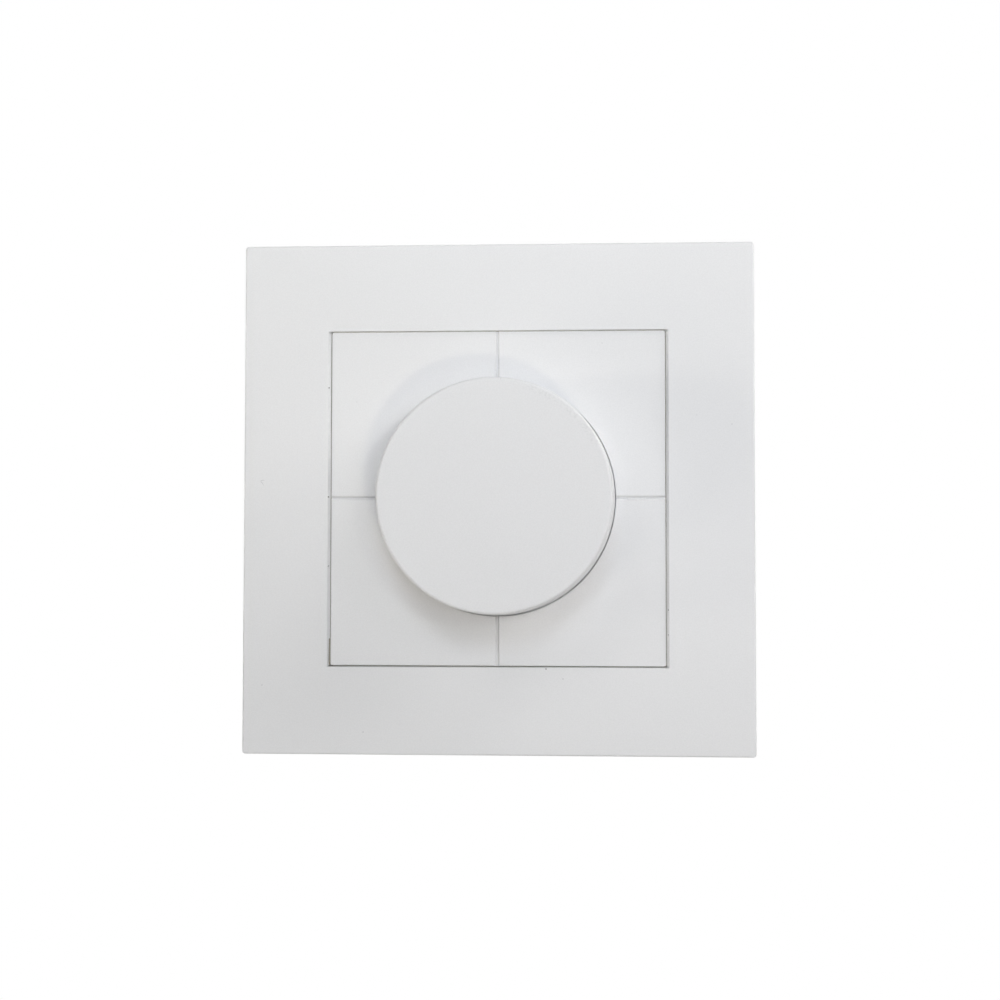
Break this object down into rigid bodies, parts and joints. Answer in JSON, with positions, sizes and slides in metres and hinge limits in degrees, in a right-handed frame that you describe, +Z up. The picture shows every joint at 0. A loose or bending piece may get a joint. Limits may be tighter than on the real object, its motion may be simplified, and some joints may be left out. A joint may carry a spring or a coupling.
{
  "type": "dimmer switch",
  "caption": "Flush wall dimmer with a square white cover frame, a grooved square centre plate and a large round knob that turns to dim and is pressed to switch.",
  "frame": {"origin": "on the knob's axis at the wall plane, which is the back face of the support plate and the rear rim of the cover frame, midway between the fixing slots", "axes": "+Z up the wall, +X to the right of someone facing the dimmer, +Y into the wall, so the knob faces -Y"},
  "size_m": [0.084, 0.0487, 0.084],
  "materials": {
    "white_plastic": "satin",
    "grey_plastic": "matt",
    "black_plastic": "matt",
    "yellow_plastic": "gloss",
    "brown_laminate": "matt",
    "green_board": "satin",
    "ferrite": "matt",
    "zinc_steel": "zinc plated",
    "bright_steel": "bright",
    "spring_steel": "oiled",
    "aluminium": "rolled",
    "brass": "turned",
    "copper_wire": "enamelled",
    "fuse_glass": "clear"
  },
  "bodies": {
    "base": {"cover_frame": "white_plastic", "centre_plate": "white_plastic", "retaining_nut": "zinc_steel", "bush_nut": "zinc_steel", "housing_screws": "zinc_steel", "triac_screw": "zinc_steel", "terminal_screws": "zinc_steel", "support_plate": "zinc_steel", "threaded_bush": "brass", "terminal_cages": "brass", "potentiometer_case": "bright_steel", "fuse_clips": "bright_steel", "housing": "grey_plastic", "housing_cover": "grey_plastic", "push_switch_body": "black_plastic", "triac": "black_plastic", "resistive_track": "brown_laminate", "circuit_board": "green_board", "heat_sink": "aluminium", "choke_core": "ferrite", "choke_winding": "copper_wire", "film_capacitor": "yellow_plastic", "fuse": "fuse_glass"},
    "wiper": {"wiper_rotor": "black_plastic", "wiper_contact": "brass"},
    "knob": {"dimmer_knob": "white_plastic", "knob_spring_clip": "spring_steel", "control_shaft": "bright_steel", "shaft_circlip": "spring_steel"},
    "plunger": {"push_switch_plunger": "white_plastic"}
  },
  "joints": [
    {"name": "knob_turn", "type": "hinge", "parent": "base", "child": "wiper", "pos_m": [0, 0, 0], "axis": [0, 1, 0], "range_deg": [-135, 135]},
    {"name": "knob_push", "type": "slide", "parent": "wiper", "child": "knob", "axis": [0, 1, 0], "range_m": [0, 0.0008], "stiffness_N_per_m": 1500, "springref_m": -0.002},
    {"name": "plunger_push", "type": "slide", "parent": "base", "child": "plunger", "axis": [0, 1, 0], "range_m": [0, 0.0008]}
  ],
  "couplings": [
    {"joint": "plunger_push", "follows": "knob_push", "ratio": 1}
  ]
}
